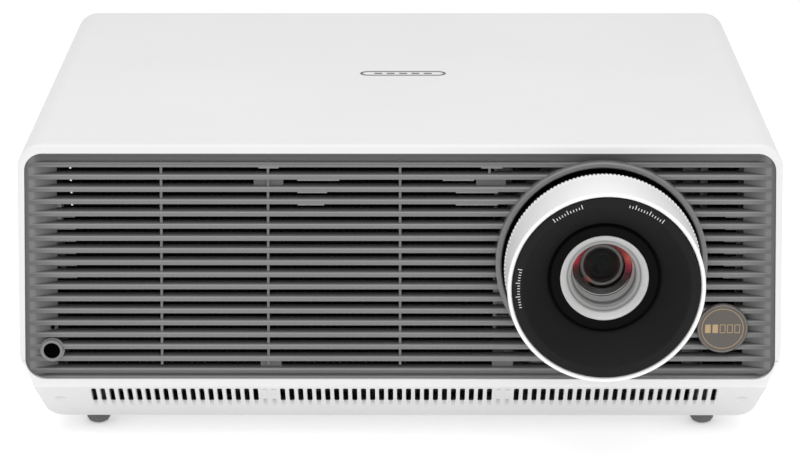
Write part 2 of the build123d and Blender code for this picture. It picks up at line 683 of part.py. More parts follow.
def make_main_board():
    z = PLATE_Z + PLATE_T
    board = box(-45, 150, 62, 150, z + 8, z + 9.6)
    studs = [post(x, y, 2.5, z, z + 8) for x in (-38, 143) for y in (68, 132)]
    top = z + 9.6
    chips = [box(20, 52, 80, 112, top, top + 3), box(70, 84, 78, 92, top, top + 1.4),
             box(70, 84, 100, 114, top, top + 1.4), box(-30, -12, 84, 104, top, top + 2),
             box(92, 118, 84, 88, top, top + 6)]
    fins = [box(22 + 4 * i, 23.4 + 4 * i, 82, 110, top + 3, top + 14) for i in range(8)]
    return joined([board] + studs + chips + fins)


PORT_FLOOR = PLATE_Z + PLATE_T + 9.6
PORT_BACK = BACK - 0.8
# name: centre x, width, height, cavity width, cavity height, cavity depth, body depth
PORTS = {
    "network": (-20.0, 17.0, 14.0, 11.8, 8.4, 13.0, 21.0),
    "serial": (14.0, 31.0, 12.6, 17.0, 8.6, 6.0, 14.0),
    "video_1": (48.0, 15.2, 6.4, 14.0, 4.6, 9.0, 12.0),
    "video_2": (70.0, 15.2, 6.4, 14.0, 4.6, 9.0, 12.0),
    "usb_1": (92.0, 14.6, 7.4, 12.6, 5.2, 10.0, 14.0),
    "usb_2": (112.0, 14.6, 7.4, 12.6, 5.2, 10.0, 14.0),
}
JACKS = ((128.0, 1.8), (140.0, 1.8))


def make_signal_ports():
    solids = []
    for x, wide, tall, hole_wide, hole_tall, hole_deep, deep in PORTS.values():
        middle = PORT_FLOOR + tall / 2
        shell = box(x - wide / 2, x + wide / 2, PORT_BACK - deep, PORT_BACK, PORT_FLOOR, PORT_FLOOR + tall)
        hole = box(x - hole_wide / 2, x + hole_wide / 2, PORT_BACK - hole_deep, PORT_BACK + 1,
                   middle - hole_tall / 2, middle + hole_tall / 2)
        solids.append(shell - hole)
    for x, radius in JACKS:
        shell = box(x - 4.5, x + 4.5, PORT_BACK - 12, PORT_BACK, PORT_FLOOR, PORT_FLOOR + 9)
        solids.append(shell - rod_y(x, PORT_FLOOR + 4.5, radius, PORT_BACK - 11, PORT_BACK + 1))
    return solids


INLET_X = -120.0
INLET_Z = 42.0


def make_ac_inlet():
    x, z = INLET_X, INLET_Z
    shell = box(x - 15, x + 15, BACK - 26, PORT_BACK, z - 12, z + 12)
    cavity = box(x - 12.2, x + 12.2, BACK - 19, BACK, z - 8.4, z + 8.4)
    pins = [box(x + u - 1, x + u + 1, BACK - 20, BACK - 5, z + low, z + low + 4)
            for u, low in ((-7, -4), (7, -4), (0, 1))]
    return joined([shell - cavity] + pins)


def socket_windows():
    """Left, right, lower and upper edge of each window in the connector band, from left to right."""
    windows = [(x - wide / 2, x + wide / 2, PORT_FLOOR, PORT_FLOOR + tall)
               for x, wide, tall, _, _, _, _ in PORTS.values()]
    windows += [(x - 4.5, x + 4.5, PORT_FLOOR, PORT_FLOOR + 9) for x, _ in JACKS]
    windows.append((INLET_X - 15, INLET_X + 15, INLET_Z - 12, INLET_Z + 12))
    return sorted(windows)


def band_blocks(y0, y1):
    """The connector band as blocks beside, under and over each socket."""
    end, low = REAR_HALF + 5, REAR_LOW - 4
    blocks, left = [], -end
    for near, far, sill, head in socket_windows():
        blocks.append(box(left, near, y0, y1, low, BAND_TOP))
        blocks.append(box(near, far, y0, y1, low, sill))
        blocks.append(box(near, far, y0, y1, head, BAND_TOP))
        left = far
    return blocks + [box(left, end, y0, y1, low, BAND_TOP)]


def make_rear_panel():
    outline = rounded([((-REAR_HALF, REAR_LOW), 5), ((REAR_HALF, REAR_LOW), 5),
                       ((REAR_HALF, REAR_HIGH), 5), ((-REAR_HALF, REAR_HIGH), 5)], 0.25)
    plate = extrude(plane_xz(BACK - WALL) * outline, amount=WALL - 0.8, dir=(0, 1, 0))
    flange = box(-REAR_HALF - 4, REAR_HALF + 4, BACK - WALL - 1.6, BACK - WALL, REAR_LOW - 3, REAR_HIGH + 3)
    y0, y1 = BACK - 12, BACK + 2
    cuts = [box(-138 + 5 * i, -135.4 + 5 * i, y0, y1, 72, 128) for i in range(22)]
    cuts += [box(-10 + 5 * i, -7.4 + 5 * i, y0, y1, 72, 128) for i in range(22)]
    cuts.append(rod_y(STICK_X, STICK_Z, 9, y0, y1))
    cuts.append(box(-146, -139, y0, y1, 50, 53))
    panel = plate + flange - cuts
    upper = panel & box(-REAR_HALF - 5, REAR_HALF + 5, y0, y1, BAND_TOP, REAR_HIGH + 4)
    return [upper + make_stick_bracket()] + [panel & block for block in band_blocks(y0, y1)]


def make_speaker(side):
    near, far = sorted((side * 152, side * 178))
    shell = box(near, far, 62, 126, 76, 126)
    mouth = rod_x(94, 101, 20, min(side * 168, side * 180), max(side * 168, side * 180))
    cone = Pos(side * 171, 94, 101) * Rot(0, side * 90, 0) * Cone(8, 18, 6)
    return shell - mouth + cone


# ---------------------------------------------------------------- joystick
def make_stick_bracket():
    y = STICK_PIVOT_Y
    outer = box(STICK_X - 15, STICK_X + 15, y - 3, BACK - WALL - 1.6, STICK_Z - 14, STICK_Z + 14)
    inner = box(STICK_X - 12, STICK_X + 12, y - 4, BACK, STICK_Z - 12, STICK_Z + 12)
    return outer - inner - rod_x(y, STICK_Z, 1 + FIT, STICK_X - 16, STICK_X + 16)


def make_stick_yoke():
    y = STICK_PIVOT_Y
    ring = box(STICK_X - 11, STICK_X + 11, y - 2, y + 2, STICK_Z - 10.5, STICK_Z + 10.5)
    ring = ring - box(STICK_X - 8, STICK_X + 8, y - 3, y + 3, STICK_Z - 8, STICK_Z + 8)
    pins = [rod_x(y, STICK_Z, 1, STICK_X + u - 2, STICK_X + u + 2) for u in (-12.5, 12.5)]
    return joined([ring] + pins) - post(STICK_X, y, 1 + FIT, STICK_Z - 12, STICK_Z + 12)


def make_stick_guide():
    y = STICK_PIVOT_Y
    block = box(STICK_X - 6, STICK_X + 6, y - 4, y + 4, STICK_Z - 6.5, STICK_Z + 6.5)
    pins = [post(STICK_X, y, 1, STICK_Z - 10, STICK_Z - 6), post(STICK_X, y, 1, STICK_Z + 6, STICK_Z + 10)]
    return joined([block] + pins) - rod_y(STICK_X, STICK_Z, 2.5, y - 5, y + 5)


def make_stick_cap():
    y = STICK_PIVOT_Y
    profile = [(0, y - 6), (2.44, y - 6), (2.44, y + 7), (7, y + 8), (7, y + 14), (6.2, y + 15), (0, y + 14.4)]
    return turned_y(profile, STICK_X, STICK_Z)


# ---------------------------------------------------------------- assembly
def save(name, shape):
    solids = shape if isinstance(shape, list) else [shape]
    flat = [solid for item in solids for solid in item.solids()]
    export_step(flat[0] if len(flat) == 1 else Compound(flat), f"parts/{name}.step")


def main():
    os.makedirs("parts", exist_ok=True)
    shell = case_shell()
    save("top_cover", make_top_cover(shell))
    save("bottom_case", make_bottom_case(shell))
    save("rear_panel", make_rear_panel())
    save("mount_inserts", make_mount_inserts())
    save("housing_screws", make_housing_screws())
    save("rear_feet", make_rear_feet())
    for side, name in ((-1, "left"), (1, "right")):
        save(f"front_foot_pad_{name}", make_foot_pad(side * FOOT_X))
        save(f"front_foot_stud_{name}", make_foot_stud(side * FOOT_X))
    save("front_grille", make_front_grille())
    save("lens_escutcheon", make_escutcheon())
    save("ir_bezel", make_ir_bezel())
    save("front_windows", [make_ir_window(), make_status_led()])
    save("round_badge", make_badge())
    save("top_emblem", make_top_emblem())
    save("focus_ring", make_focus_ring())
    save("zoom_ring", make_zoom_ring())
    save("front_dish", make_front_dish())
    save("baffle_ring", make_baffle_ring())
    save("lens_hood", make_lens_hood())
    save("fixed_glass", [make_front_element(), make_rear_element()])
    save("lens_barrel", make_lens_barrel())
    save("light_seal", make_light_seal())
    save("focus_cell", make_focus_cell())
    save("focus_glass", make_focus_glass())
    save("zoom_cell", make_zoom_cell())
    save("zoom_glass", make_zoom_glass())
    save("horizontal_carriage", make_horizontal_carriage())
    save("vertical_carriage", make_vertical_carriage())
    save("guide_rod_horizontal", make_guide_rod_horizontal())
    save("lead_screw_horizontal", make_lead_screw_horizontal())
    save("shift_motor_horizontal", make_shift_motor_horizontal())
    save("shift_frame", make_shift_frame())
    save("guide_rod_vertical", make_guide_rod_vertical())
    save("lead_screw_vertical", make_lead_screw_vertical())
    save("shift_motor_vertical", make_shift_motor_vertical())
    save("engine_housing", make_engine_housing())
    save("engine_lid", make_engine_lid())
    save("engine_optics", [make_prism()] + make_condenser_lenses())
    save("wheel_housing", make_wheel_housing())
    save("phosphor_wheel", make_phosphor_wheel())
    save("wheel_motor", make_wheel_motor())
    save("laser_bank", make_laser_bank())
    save("laser_heatsink", make_laser_heatsink())
    save("heat_pipes", heat_pipe_rows())
    save("dmd_board", make_dmd_board())
    save("dmd_heatsink", make_dmd_heatsink())
    save("fan_frames", [make_fan_frame(x) for x in FAN_XS])
    for x, name in zip(FAN_XS, ("left", "right")):
        save(f"fan_impeller_{name}", make_impeller(x))
    save("chassis_plate", make_chassis_plate())
    save("speakers", [make_speaker(side) for side in (-1, 1)])
    save("power_supply", make_power_supply())
    save("main_board", make_main_board())
    save("signal_ports", make_signal_ports())
    save("ac_inlet", make_ac_inlet())
    save("stick_yoke", make_stick_yoke())
    save("stick_guide", make_stick_guide())
    save("stick_cap", make_stick_cap())


if __name__ == "__main__":
    main()
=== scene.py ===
import json
import math

import bmesh
import bpy
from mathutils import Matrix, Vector


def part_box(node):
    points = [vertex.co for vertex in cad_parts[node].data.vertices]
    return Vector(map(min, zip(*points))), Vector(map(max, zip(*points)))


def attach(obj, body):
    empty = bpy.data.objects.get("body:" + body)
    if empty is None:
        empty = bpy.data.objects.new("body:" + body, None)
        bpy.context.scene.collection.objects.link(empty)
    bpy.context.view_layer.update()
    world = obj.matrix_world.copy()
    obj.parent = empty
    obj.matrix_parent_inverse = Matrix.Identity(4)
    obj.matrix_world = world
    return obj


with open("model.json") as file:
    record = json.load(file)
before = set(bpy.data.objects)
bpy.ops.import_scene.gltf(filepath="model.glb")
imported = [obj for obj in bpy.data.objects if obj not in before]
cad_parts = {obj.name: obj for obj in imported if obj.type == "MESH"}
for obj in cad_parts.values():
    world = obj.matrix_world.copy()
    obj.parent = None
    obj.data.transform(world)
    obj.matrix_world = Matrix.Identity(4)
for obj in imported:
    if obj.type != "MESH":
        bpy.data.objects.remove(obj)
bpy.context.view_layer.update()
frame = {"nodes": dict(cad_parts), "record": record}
nodes = frame["nodes"]

# ---------------------------------------------------------------- places, from the frame
case_low, case_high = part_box("top_cover")
FRONT_Y, BACK_Y = case_low.y, case_high.y
TOP_Z = case_high.z
escutcheon_low, escutcheon_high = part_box("lens_escutcheon")
LENS_X = (escutcheon_low.x + escutcheon_high.x) / 2
LENS_Z = (escutcheon_low.z + escutcheon_high.z) / 2
LIP_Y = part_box("front_dish")[0].y
HOOD_BACK_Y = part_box("lens_hood")[1].y
badge_low, badge_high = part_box("round_badge")
BADGE_X = (badge_low.x + badge_high.x) / 2
BADGE_Z = (badge_low.z + badge_high.z) / 2
BADGE_Y = badge_low.y
grille_low, grille_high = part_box("front_grille")
GRILLE_Y, GRILLE_BACK_Y = grille_low.y, grille_high.y
GRILLE_LOW_Z, GRILLE_TOP_Z = grille_low.z, grille_high.z
PANEL_INSET = 0.0008
PANEL_Y = BACK_Y - PANEL_INSET
PORT_FLOOR_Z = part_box("signal_ports")[0].z
LOUVRE_PITCH = 0.0062

# ---------------------------------------------------------------- painted marks, in millimetres
CHIN_SPAN = 64.0                         # heights on the chin are shares of this
SLOT_PITCH = 4.456
SLOT_ROW_START = 154.028                 # half a pitch outside the first slot
SLOT_ROW_MIDDLE, SLOT_ROW_SPAN = 1.93, 200.0
DIMPLE_MIDDLE, DIMPLE_REACH = 0.5, 169.3
DIMPLE_RISE = 20.5
DIMPLE_WIDE, DIMPLE_TALL = 3.5, 2.5
FUNNEL_SPAN = 22.0                       # radii on the lens parts are shares of these
STOP_SPAN = 20.0
PUPIL_SPAN = 10.0
LATHE_PITCH = 0.55

# ---------------------------------------------------------------- painted depths, in metres
GAP_SPAN = 0.004                         # depths into the grille are shares of this
GRILLE_SPAN = 0.125                      # heights on the grille are shares of this


# ---------------------------------------------------------------- material tools
def new_material(name):
    mat = bpy.data.materials.new(name)
    mat.use_nodes = True
    tree = mat.node_tree
    return mat, tree, tree.nodes["Principled BSDF"]


def node(tree, kind, **settings):
    made = tree.nodes.new(kind)
    for key, value in settings.items():
        setattr(made, key, value)
    return made


def place(tree):
    """The object's own coordinates, in metres."""
    return node(tree, "ShaderNodeTexCoord").outputs["Object"]


def noise(tree, scale, detail=2.0):
    """Noise in the object's own metres, as a 0 to 1 value."""
    made = node(tree, "ShaderNodeTexNoise")
    made.inputs["Scale"].default_value = scale
    made.inputs["Detail"].default_value = detail
    tree.links.new(place(tree), made.inputs["Vector"])
    return made.outputs["Fac"]


def math_node(tree, operation, first, second=None):
    made = node(tree, "ShaderNodeMath", operation=operation)
    for socket, value in zip(made.inputs, (first, second)):
        if isinstance(value, (int, float)):
            socket.default_value = value
        elif value is not None:
            tree.links.new(value, socket)
    return made.outputs["Value"]


def share(tree, value, whole):
    """The value as a share of the whole."""
    return math_node(tree, "MULTIPLY", value, 1 / whole)


def grey(value):
    return (*value, 1) if isinstance(value, tuple) else (value, value, value, 1)


def ramp(tree, source, *stops):
    """A ramp through (position, grey or colour) stops."""
    made = node(tree, "ShaderNodeValToRGB")
    elements = made.color_ramp.elements
    elements[0].position, elements[1].position = stops[0][0], stops[-1][0]
    elements[0].color, elements[1].color = grey(stops[0][1]), grey(stops[-1][1])
    for position, value in stops[1:-1]:
        elements.new(position).color = grey(value)
    tree.links.new(source, made.inputs["Fac"])
    return made.outputs["Color"]


def mixed(tree, factor, first, second, blend="MIX"):
    made = node(tree, "ShaderNodeMix", data_type="RGBA", blend_type=blend)
    for index, value in ((0, factor), (6, first), (7, second)):
        if isinstance(value, (int, float, tuple)):
            made.inputs[index].default_value = value if index == 0 else grey(value)
        else:
            tree.links.new(value, made.inputs[index])
    return made.outputs[2]


def times(tree, first, second):
    """Two colours or greys multiplied."""
    return mixed(tree, 1.0, first, second, "MULTIPLY")


def bump(tree, shader, source, strength, distance):
    made = node(tree, "ShaderNodeBump")
    made.inputs["Strength"].default_value = strength
    made.inputs["Distance"].default_value = distance
    tree.links.new(source, made.inputs["Height"])
    tree.links.new(made.outputs["Normal"], shader.inputs["Normal"])


def shade(colour, factor):
    return tuple(max(0.0, min(1.0, c * factor)) for c in colour)


def axis_value(tree, name):
    split = node(tree, "ShaderNodeSeparateXYZ")
    tree.links.new(place(tree), split.inputs[0])
    return split.outputs[name]


def squared_sum(tree, first, second):
    """The sum of the two squares."""
    return math_node(tree, "ADD", math_node(tree, "MULTIPLY", first, first),
                     math_node(tree, "MULTIPLY", second, second))


def lens_polar(tree):
    """Radius in millimetres and angle as a 0 to 1 turn about the lens axis."""
    x = math_node(tree, "SUBTRACT", axis_value(tree, "X"), LENS_X)
    z = math_node(tree, "SUBTRACT", axis_value(tree, "Z"), LENS_Z)
    squares = squared_sum(tree, x, z)
    radius = math_node(tree, "MULTIPLY", math_node(tree, "SQRT", squares), 1000.0)
    turn = math_node(tree, "MULTIPLY", math_node(tree, "ARCTAN2", z, x), 0.5 / math.pi)
    return radius, math_node(tree, "ADD", turn, 0.5)


# ---------------------------------------------------------------- materials
def moulded(name, colour, rough, grain=2600, depth=0.00003, variation=0.03, specular=0.5,
            metallic=0.0):
    """Moulded plastic or paint: even colour with slight drift, fine grain in gloss and height."""
    mat, tree, shader = new_material(name)
    low, high = shade(colour, 1 - variation), shade(colour, 1 + variation)
    drift = ramp(tree, noise(tree, 9.0, 3.0), (0.3, low), (0.7, high))
    tree.links.new(drift, shader.inputs["Base Color"])
    fine = noise(tree, grain, 3.0)
    tree.links.new(ramp(tree, fine, (0.3, rough - 0.06), (0.7, rough + 0.06)), shader.inputs["Roughness"])
    bump(tree, shader, fine, 0.35, depth)
    shader.inputs["Specular IOR Level"].default_value = specular
    shader.inputs["Metallic"].default_value = metallic
    return mat


def case_plastic(name, colour, rough):
    """White case, with painted shade: the chin, which faces down, is painted a little greyer, with soft
    painted shade in its dimples and under its slots.
    """
    mat, tree, shader = new_material(name)
    x = math_node(tree, "MULTIPLY", axis_value(tree, "X"), 1000.0)
    z = math_node(tree, "MULTIPLY", axis_value(tree, "Z"), 1000.0)
    tall = share(tree, z, CHIN_SPAN)
    # painted shade: the chin, below its top edge, is darker than the rest of the case
    tone = ramp(tree, tall, (0.470, 0.84), (0.496, 1.0))
    # painted shade: a dark mark under each slot, along the slot row only
    turns = math_node(tree, "FRACT", share(tree, math_node(tree, "ADD", x, SLOT_ROW_START), SLOT_PITCH))
    column = ramp(tree, turns, (0.28, 0.0), (0.34, 1.0), (0.66, 1.0), (0.72, 0.0))
    reach = ramp(tree, tall, (0.235, 0.0), (0.300, 0.55), (0.330, 1.0), (0.336, 0.0))
    across = math_node(tree, "ABSOLUTE", math_node(tree, "SUBTRACT", x, SLOT_ROW_MIDDLE))
    inside = ramp(tree, share(tree, across, SLOT_ROW_SPAN), (0.782, 1.0), (0.786, 0.0))
    mark = times(tree, times(tree, column, reach), inside)
    tone = mixed(tree, mark, tone, 0.42)
    # painted shade in the two dimples, darker towards their top, near the front only
    side = math_node(tree, "ABSOLUTE", math_node(tree, "SUBTRACT", x, DIMPLE_MIDDLE))
    side = share(tree, math_node(tree, "SUBTRACT", side, DIMPLE_REACH), DIMPLE_WIDE)
    rise = share(tree, math_node(tree, "SUBTRACT", z, DIMPLE_RISE), DIMPLE_TALL)
    spot = ramp(tree, squared_sum(tree, side, rise), (0.75, 1.0), (1.0, 0.0))
    shadow = ramp(tree, tall, (0.285, 0.90), (0.320, 0.84), (0.350, 0.60))
    inset = math_node(tree, "SUBTRACT", axis_value(tree, "Y"), FRONT_Y)
    front = ramp(tree, inset, (0.018, 1.0), (0.020, 0.0))
    tone = mixed(tree, times(tree, spot, front), tone, shadow)
    drift = ramp(tree, noise(tree, 9.0, 3.0), (0.3, shade(colour, 0.985)), (0.7, shade(colour, 1.01)))
    tree.links.new(times(tree, tone, drift), shader.inputs["Base Color"])
    fine = noise(tree, 2600, 3.0)
    tree.links.new(ramp(tree, fine, (0.3, rough - 0.06), (0.7, rough + 0.06)), shader.inputs["Roughness"])
    bump(tree, shader, fine, 0.35, 0.00003)
    return mat


def louvre_plastic(name):
    """Grille grey with painted light and shade: painted highlights on the nose edges, painted shade darker
    into the gaps, painted bands along the top and bottom, and plain borders painted darker still.
    """
    mat, tree, shader = new_material(name)
    side = math_node(tree, "ABSOLUTE", axis_value(tree, "X"))
    # painted light: the louvre field is lighter than the plain side borders
    field = ramp(tree, side, (0.167, 0.300), (0.181, 0.170))
    # painted highlight on the nose bevels, then painted shade deeper into the gaps
    depth = share(tree, math_node(tree, "SUBTRACT", axis_value(tree, "Y"), GRILLE_Y), GAP_SPAN)
    inward = ramp(tree, depth, (0.0, 0.66), (0.015, 0.66), (0.035, 1.0), (0.15, 1.0), (0.22, 0.70),
                  (0.33, 0.56), (0.55, 0.40), (0.75, 0.27), (0.95, 0.16))
    field = times(tree, field, inward)
    # painted shade and highlights in bands along the bottom and top of the louvre field
    height = share(tree, math_node(tree, "SUBTRACT", axis_value(tree, "Z"), GRILLE_LOW_Z), GRILLE_SPAN)
    top, mm = (GRILLE_TOP_Z - GRILLE_LOW_Z) / GRILLE_SPAN, 0.001 / GRILLE_SPAN
    edges = ramp(tree, height, (0.0, 0.55), (mm * 0.5, 1.1), (mm * 2.0, 0.95), (mm * 3.2, 0.40),
                 (mm * 4.2, 0.85), (mm * 5.5, 1.0), (top - mm * 6.2, 1.0), (top - mm * 5.6, 0.72),
                 (top - mm * 2.6, 0.66), (top - mm * 1.7, 0.42), (top - mm * 0.6, 0.9), (top, 0.95))
    inner = ramp(tree, side, (0.168, 1.0), (0.179, 0.25))
    field = mixed(tree, inner, field, times(tree, field, edges))
    drift = ramp(tree, noise(tree, 14.0, 3.0), (0.3, 0.94), (0.7, 1.0))
    tree.links.new(times(tree, field, drift), shader.inputs["Base Color"])
    fine = noise(tree, 2400, 3.0)
    tree.links.new(ramp(tree, fine, (0.3, 0.38), (0.7, 0.5)), shader.inputs["Roughness"])
    bump(tree, shader, fine, 0.3, 0.00002)
    return mat


def metal(name, colour, rough, grain=900, contrast=0.1):
    """Bare metal with fine tool marks."""
    mat, tree, shader = new_material(name)
    marks = noise(tree, grain, 4.0)
    tree.links.new(ramp(tree, marks, (0.3, shade(colour, 1 - contrast)), (0.7, shade(colour, 1.04))),
                   shader.inputs["Base Color"])
    tree.links.new(ramp(tree, marks, (0.3, rough - 0.05), (0.7, rough + 0.08)), shader.inputs["Roughness"])
    bump(tree, shader, marks, 0.2, 0.00002)
    shader.inputs["Metallic"].default_value = 1.0
    return mat


def lathe_turned(name, colour, rough, metallic=0.25):
    """Lens metal: a bright rim, a dark groove, then a funnel, all painted light and shade by radius, with
    rings left by the lathe.
    """
    mat, tree, shader = new_material(name)
    radius, _ = lens_polar(tree)
    reach = share(tree, radius, FUNNEL_SPAN)
    # painted light and shade by radius: a bright rim, a dark groove, a thin highlight ring, darker bands, a
    # bright funnel
    painted_light_bands = ramp(tree, reach, (0.640, 1.0), (0.684, 1.0), (0.694, 0.30), (0.706, 0.36), (0.714, 0.95),
                 (0.724, 0.34), (0.760, 0.40), (0.800, 0.34), (0.840, 0.88), (0.905, 0.92), (0.955, 1.0))
    groove = math_node(tree, "FRACT", share(tree, radius, LATHE_PITCH))
    marks = ramp(tree, groove, (0.0, 0.90), (0.5, 1.0), (1.0, 0.90))
    body = times(tree, painted_light_bands, marks)
    tree.links.new(times(tree, body, colour), shader.inputs["Base Color"])
    fine = noise(tree, 1500, 2.0)
    tree.links.new(ramp(tree, fine, (0.3, rough - 0.04), (0.7, rough + 0.05)), shader.inputs["Roughness"])
    shader.inputs["Metallic"].default_value = metallic
    return mat


COATED_IOR = 1.08                        # far below real glass, so that it reflects as little as a coated one


def glass(name, colour):
    """Stands for coated glass with a trace of dust: it bends and reflects very little."""
    mat, tree, shader = new_material(name)
    dust = noise(tree, 700, 3.0)
    tree.links.new(ramp(tree, dust, (0.55, colour), (0.8, shade(colour, 0.9))), shader.inputs["Base Color"])
    shader.inputs["Roughness"].default_value = 0.0
    shader.inputs["Transmission Weight"].default_value = 1.0
    shader.inputs["IOR"].default_value = COATED_IOR
    return mat


def reflection_stop(name):
    """Dark ring behind the front glass, with painted reflections: the red and orange glow of the lens
    coating, and a pale painted highlight line low down.
    """
    mat, tree, shader = new_material(name)
    radius, turn = lens_polar(tree)
    # painted reflection: red and orange arcs of the coating on the left, top and right, greys low down
    painted_reflection = ramp(
        tree, turn, (0.0, (0.30, 0.02, 0.03)), (0.04, (0.09, 0.03, 0.03)), (0.11, (0.07, 0.06, 0.06)),
        (0.25, (0.16, 0.15, 0.15)), (0.39, (0.07, 0.06, 0.06)), (0.455, (0.20, 0.03, 0.05)),
        (0.50, (0.62, 0.04, 0.09)), (0.55, (0.95, 0.16, 0.12)), (0.60, (0.62, 0.06, 0.05)),
        (0.66, (0.32, 0.03, 0.035)), (0.75, (0.14, 0.02, 0.025)), (0.845, (0.26, 0.025, 0.03)),
        (0.915, (0.70, 0.04, 0.05)), (0.965, (0.90, 0.035, 0.075)), (1.0, (0.30, 0.02, 0.03)))
    reach = share(tree, radius, STOP_SPAN)
    rings = ramp(tree, reach, (0.50, 0.25), (0.62, 0.7), (0.70, 1.0), (0.735, 0.3))
    painted_reflection = times(tree, painted_reflection, rings)
    # painted highlight: a pale line near the outer edge, low down
    edge = ramp(tree, reach, (0.700, 0.0), (0.712, 1.0), (0.728, 1.0), (0.738, 0.0))
    lower = ramp(tree, turn, (0.06, 0.0), (0.14, 1.0), (0.36, 1.0), (0.44, 0.0))
    edge = times(tree, edge, lower)
    tree.links.new(mixed(tree, edge, painted_reflection, (1.0, 0.98, 0.97)), shader.inputs["Base Color"])
    tree.links.new(ramp(tree, noise(tree, 1200, 2.0), (0.3, 0.30), (0.7, 0.42)), shader.inputs["Roughness"])
    shader.inputs["Specular IOR Level"].default_value = 0.2
    return mat


def cell_metal(name):
    """Focus cell: a pale turned snout, black further out, with one pink spot of painted reflection from the
    lens coating.
    """
    mat, tree, shader = new_material(name)
    radius, turn = lens_polar(tree)
    reach = share(tree, radius, STOP_SPAN)
    body = ramp(tree, reach, (0.44, (0.12, 0.11, 0.11)), (0.475, (0.26, 0.235, 0.235)),
                (0.515, (0.17, 0.15, 0.15)), (0.53, (0.03, 0.026, 0.026)))
    # painted reflection: one pink spot low on the left
    spot = ramp(tree, turn, (0.10, 0.0), (0.125, 1.0), (0.145, 1.0), (0.17, 0.0))
    tree.links.new(mixed(tree, spot, body, (0.50, 0.16, 0.14)), shader.inputs["Base Color"])
    tree.links.new(ramp(tree, noise(tree, 1500, 2.0), (0.3, 0.35), (0.7, 0.5)), shader.inputs["Roughness"])
    shader.inputs["Specular IOR Level"].default_value = 0.3
    return mat


def deep_glass(name):
    """Second element, painted near black as the shade deep inside the lens, with faint coloured rings of
    painted reflection.
    """
    mat, tree, shader = new_material(name)
    radius, turn = lens_polar(tree)
    reach = share(tree, radius, PUPIL_SPAN)
    # painted shade and painted reflection: near-black glass with faint brighter rings
    rings = ramp(
        tree, reach, (0.0, (0.004, 0.006, 0.006)), (0.14, (0.004, 0.007, 0.007)),
        (0.17, (0.012, 0.020, 0.019)), (0.30, (0.006, 0.009, 0.009)), (0.52, (0.008, 0.011, 0.011)),
        (0.55, (0.035, 0.033, 0.033)), (0.60, (0.012, 0.011, 0.012)), (0.76, (0.016, 0.013, 0.014)),
        (0.80, (0.06, 0.05, 0.05)), (0.90, (0.02, 0.016, 0.016)))
    # painted reflection: pink tint left and right, grey above and below
    tint = ramp(tree, turn, (0.0, (1.0, 0.55, 0.5)), (0.25, (0.8, 0.8, 0.8)), (0.5, (1.0, 0.6, 0.5)),
                (0.75, (0.7, 0.75, 0.75)), (1.0, (1.0, 0.55, 0.5)))
    tree.links.new(times(tree, rings, tint), shader.inputs["Base Color"])
    tree.links.new(ramp(tree, noise(tree, 60, 2.0), (0.4, 0.16), (0.7, 0.2)), shader.inputs["Roughness"])
    shader.inputs["Specular IOR Level"].default_value = 0.05
    return mat


WHITE = (0.815, 0.815, 0.815)
MATERIALS = {
    "white_case": case_plastic("white_case", WHITE, 0.42),
    "grille_grey": louvre_plastic("grille_grey"),
    "ring_grey": moulded("ring_grey", (0.21, 0.21, 0.21), 0.42),
    "lens_white": moulded("lens_white", (0.93, 0.93, 0.93), 0.34, grain=1800, variation=0.012),
    "lens_black": moulded("lens_black", (0.0145, 0.0145, 0.0145), 0.5, specular=0.08, variation=0.12),
    "satin_silver": lathe_turned("satin_silver", (0.98, 0.975, 0.97), 0.38),
    "optical_glass": glass("optical_glass", (0.97, 0.985, 0.98)),
    "dark_window": moulded("dark_window", (0.001, 0.001, 0.0012), 0.4, depth=0.000004,
                           specular=0.004),
    "foot_grey": moulded("foot_grey", (0.15, 0.15, 0.15), 0.65, specular=0.2),
    "rear_grey": moulded("rear_grey", (0.60, 0.605, 0.61), 0.5),
    "badge_brown": moulded("badge_brown", (0.108, 0.098, 0.088), 0.42, grain=1400, variation=0.05,
                           metallic=0.3),
    "emblem_grey": moulded("emblem_grey", (0.085, 0.085, 0.086), 0.4, specular=0.2),
    "steel": metal("steel", (0.55, 0.56, 0.57), 0.35),
    "cast_metal": metal("cast_metal", (0.40, 0.41, 0.42), 0.5, contrast=0.2),
    "dark_metal": moulded("dark_metal", (0.02, 0.02, 0.022), 0.45, specular=0.2),
    "copper": metal("copper", (0.80, 0.42, 0.28), 0.3),
    "board_green": moulded("board_green", (0.02, 0.12, 0.06), 0.4, variation=0.15),
    "fan_black": moulded("fan_black", (0.012, 0.012, 0.013), 0.5, specular=0.2),
    "brass_insert": metal("brass_insert", (0.75, 0.56, 0.25), 0.3),
    "port_metal": metal("port_metal", (0.66, 0.67, 0.68), 0.25),
}
OWN_LOOKS = {"focus_cell": cell_metal("focus_cell_metal"), "focus_glass": deep_glass("deep_glass"),
             "baffle_ring": moulded("baffle_black", (0.006, 0.006, 0.006), 0.6, specular=0.04)}

for part in frame["record"]["subparts"]:
    mesh = nodes[part["node"]].data
    mesh.materials.clear()
    mesh.materials.append(OWN_LOOKS.get(part["node"]) or MATERIALS[part["material_slot"]])


# ---------------------------------------------------------------- mesh tools
def add_piece(name, verts, faces, material, body, smooth=False):
    mesh = bpy.data.meshes.new(name)
    mesh.from_pydata([tuple(v) for v in verts], [], faces)
    tidy = bmesh.new()
    tidy.from_mesh(mesh)
    bmesh.ops.recalc_face_normals(tidy, faces=tidy.faces)
    tidy.to_mesh(mesh)
    tidy.free()
    mesh.materials.append(material)
    piece = bpy.data.objects.new(name, mesh)
    bpy.context.scene.collection.objects.link(piece)
    if smooth:
        mesh.polygons.foreach_set("use_smooth", [True] * len(mesh.polygons))
    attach(piece, body)
    return piece


